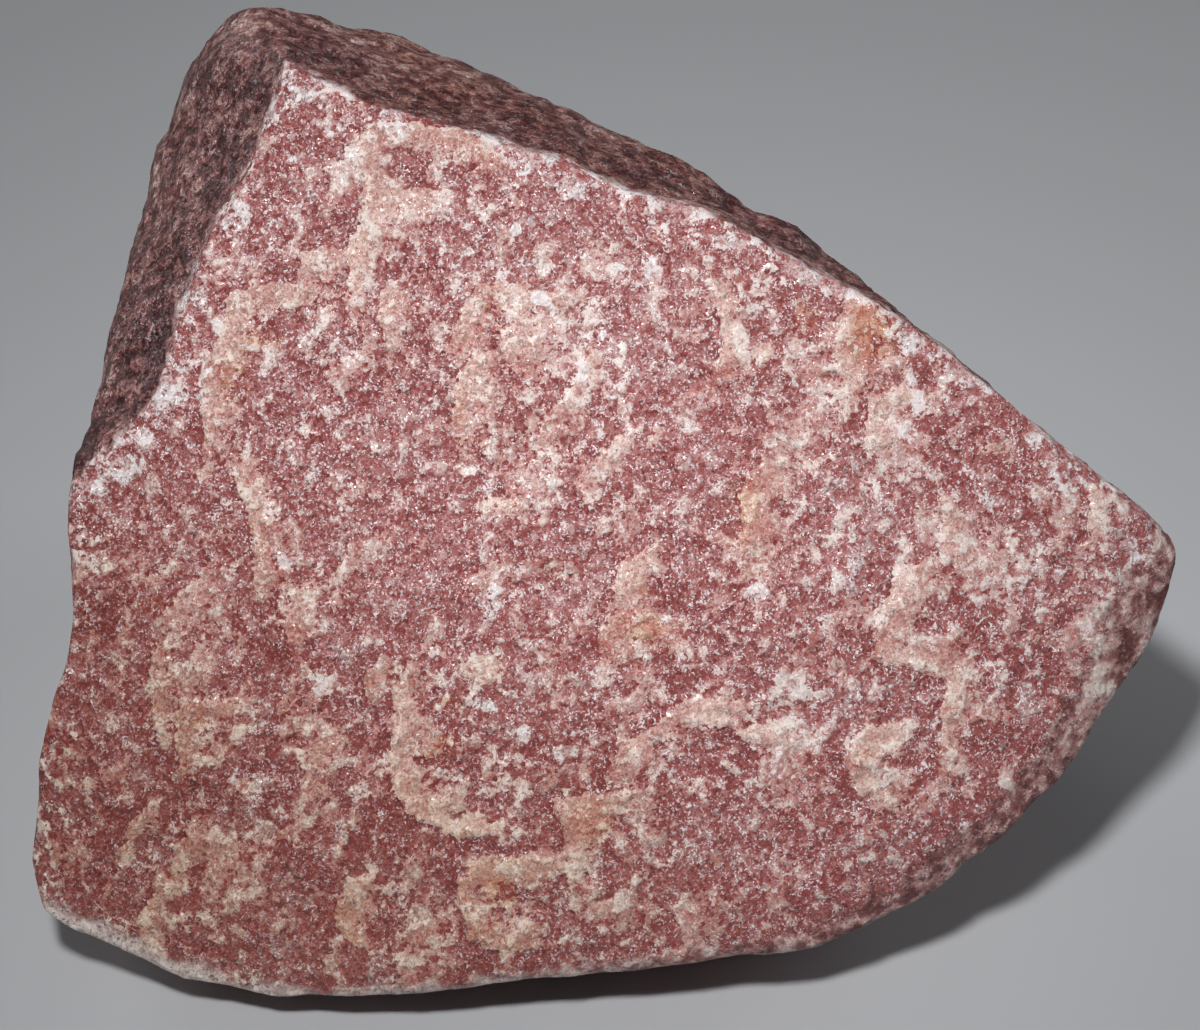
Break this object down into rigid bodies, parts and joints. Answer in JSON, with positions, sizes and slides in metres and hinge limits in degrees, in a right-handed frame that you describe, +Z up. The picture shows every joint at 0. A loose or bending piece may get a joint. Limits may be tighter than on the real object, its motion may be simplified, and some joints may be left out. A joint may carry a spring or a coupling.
{
  "type": "quartzite stone",
  "caption": "Hand-sized wedge of pink quartzite with a broad sloping broken face, darker weathered sides behind it and a flat spot underneath that it rests on.",
  "frame": {"origin": "bottom centre of the stone's bounding box, on the ground that it rests on", "axes": "+Z up, +X across the broken face to its right, -Y towards the viewer that the broken face slopes to"},
  "size_m": [0.117, 0.0894, 0.081],
  "materials": {
    "quartzite": "granular broken quartzite with glassy glints, duller and darker on the weathered sides"
  },
  "bodies": {
    "root": {"quartzite": "quartzite"}
  },
  "joints": []
}
